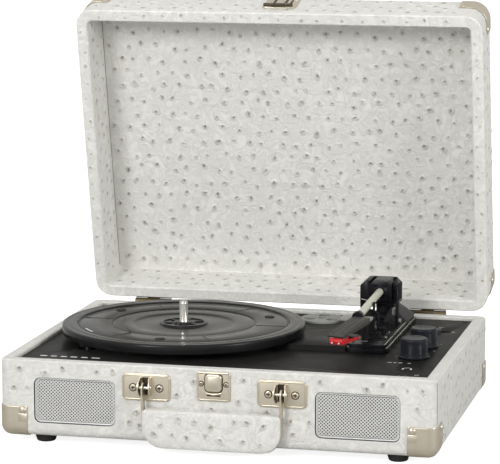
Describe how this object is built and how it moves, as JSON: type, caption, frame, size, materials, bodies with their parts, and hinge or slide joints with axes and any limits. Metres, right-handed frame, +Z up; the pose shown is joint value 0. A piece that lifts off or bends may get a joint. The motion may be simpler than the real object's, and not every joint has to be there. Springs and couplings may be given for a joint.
{
  "type": "suitcase record player",
  "caption": "Portable suitcase record player: vinyl-covered case with hinged lid, belt-driven platter, tonearm with cue lift, front speakers, knobs, latch and handle.",
  "frame": {"origin": "on the surface that the feet stand on, under the middle of the open player's box", "axes": "+X to the player's right, +Y to the back, +Z up"},
  "size_m": [0.3574, 0.3312, 0.3443],
  "materials": {
    "vinyl": "embossed off-white leatherette",
    "satin_nickel": "satin champagne plating",
    "deck_black": "satin black",
    "gloss_black": "semi-gloss black",
    "dark_grey": "satin dark grey",
    "grille_silver": "silver-white perforated sheet",
    "speaker_black": "matt black",
    "rubber": "matt",
    "arm_silver": "pale champagne",
    "stylus_red": "red",
    "chrome": "polished",
    "brass": "turned",
    "steel": "plain",
    "board_green": "solder mask",
    "jack_black": "black moulding"
  },
  "bodies": {
    "case": {"base_shell": "vinyl", "deck_plate": "deck_black", "speaker_grille_left": "grille_silver", "speaker_grille_right": "grille_silver", "speaker_left": "speaker_black", "speaker_right": "speaker_black", "foot_front_left": "rubber", "foot_front_right": "rubber", "foot_rear_left": "rubber", "foot_rear_right": "rubber", "case_corner_front_left": "satin_nickel", "case_corner_front_right": "satin_nickel", "case_corner_rear_left": "satin_nickel", "case_corner_rear_right": "satin_nickel", "hinge_base_leaf_left": "satin_nickel", "hinge_base_leaf_right": "satin_nickel", "latch_plate": "satin_nickel", "handle_bracket_left": "satin_nickel", "handle_bracket_right": "satin_nickel", "spindle": "chrome", "motor": "steel", "drive_belt": "rubber", "circuit_board": "board_green", "volume_pot": "steel", "selector_switch": "steel", "headphone_jack": "jack_black", "dc_inlet": "jack_black", "rca_sockets": "jack_black", "tonearm_base": "deck_black", "pivot_column": "gloss_black", "arm_rest": "dark_grey"},
    "lid": {"lid_shell": "vinyl", "lid_corner_front_left": "satin_nickel", "lid_corner_front_right": "satin_nickel", "lid_corner_rear_left": "satin_nickel", "lid_corner_rear_right": "satin_nickel", "hinge_lid_leaf_left": "satin_nickel", "hinge_lid_leaf_right": "satin_nickel", "hasp_plate": "satin_nickel"},
    "hasp": {"hasp_flap": "satin_nickel"},
    "handle": {"handle_strap_left": "satin_nickel", "handle_strap_right": "satin_nickel", "handle_grip": "vinyl"},
    "platter": {"platter": "gloss_black", "platter_bush": "brass"},
    "pulley": {"motor_pulley": "brass"},
    "yoke": {"arm_yoke": "gloss_black"},
    "arm": {"counterweight": "gloss_black", "arm_tube": "arm_silver", "headshell": "dark_grey", "cartridge": "gloss_black", "stylus": "stylus_red"},
    "cue_lever": {"cue_lever": "deck_black"},
    "lift": {"lift_plate": "dark_grey"},
    "clip": {"arm_clip": "dark_grey"},
    "adapter": {"adapter_45": "dark_grey"},
    "volume": {"volume_knob": "dark_grey"},
    "selector": {"selector_knob": "dark_grey"},
    "speed": {"speed_switch": "jack_black"}
  },
  "joints": [
    {"name": "lid_hinge", "type": "hinge", "parent": "case", "child": "lid", "pos_m": [0, 0.11844, 0.069], "axis": [-1, 0, 0], "range_deg": [-77.5, 12.5]},
    {"name": "hasp_fold", "type": "hinge", "parent": "lid", "child": "hasp", "pos_m": [0, 0.07323, 0.33994], "axis": [1, 0, 0], "range_deg": [0, 180]},
    {"name": "handle_swing", "type": "hinge", "parent": "case", "child": "handle", "pos_m": [0, -0.16006, 0.053], "axis": [-1, 0, 0], "range_deg": [0, 120]},
    {"name": "platter_spin", "type": "hinge", "parent": "case", "child": "platter", "pos_m": [-0.06, -0.01856, 0.075], "axis": [0, 0, -1], "continuous": true},
    {"name": "pulley_spin", "type": "hinge", "parent": "case", "child": "pulley", "pos_m": [-0.12505, -0.08361, 0.071], "axis": [0, 0, -1], "continuous": true},
    {"name": "arm_swing", "type": "hinge", "parent": "case", "child": "yoke", "pos_m": [0.0945, 0.07544, 0.098], "axis": [0, 0, -1], "range_deg": [0, 38]},
    {"name": "arm_raise", "type": "hinge", "parent": "yoke", "child": "arm", "pos_m": [0.0945, 0.07544, 0.098], "axis": [-1, 0, 0], "range_deg": [0, 4]},
    {"name": "cue_lever_turn", "type": "hinge", "parent": "case", "child": "cue_lever", "pos_m": [0.111, 0.04344, 0.076], "axis": [1, 0, 0], "range_deg": [0, 60]},
    {"name": "lift_rise", "type": "slide", "parent": "case", "child": "lift", "axis": [0, 0, 1], "range_m": [0, 0.0075]},
    {"name": "clip_fold", "type": "hinge", "parent": "case", "child": "clip", "pos_m": [0.1016, 0.00144, 0.09], "axis": [0, -1, 0], "range_deg": [0, 180]},
    {"name": "adapter_lift", "type": "slide", "parent": "case", "child": "adapter", "axis": [0, 0, 1], "range_m": [0, 0.03]},
    {"name": "volume_turn", "type": "hinge", "parent": "case", "child": "volume", "pos_m": [0.143, -0.05756, 0.075], "axis": [0, 0, -1], "range_deg": [0, 280]},
    {"name": "selector_turn", "type": "hinge", "parent": "case", "child": "selector", "pos_m": [0.1435, -0.01356, 0.075], "axis": [0, 0, -1], "range_deg": [0, 60]},
    {"name": "speed_slide", "type": "slide", "parent": "case", "child": "speed", "axis": [1, 0, 0], "range_m": [0, 0.007]}
  ],
  "couplings": [
    {"joint": "pulley_spin", "follows": "platter_spin", "ratio": 16},
    {"joint": "cue_lever_turn", "follows": "arm_raise", "ratio": 15},
    {"joint": "lift_rise", "follows": "arm_raise", "m_per_rad": 0.105}
  ]
}
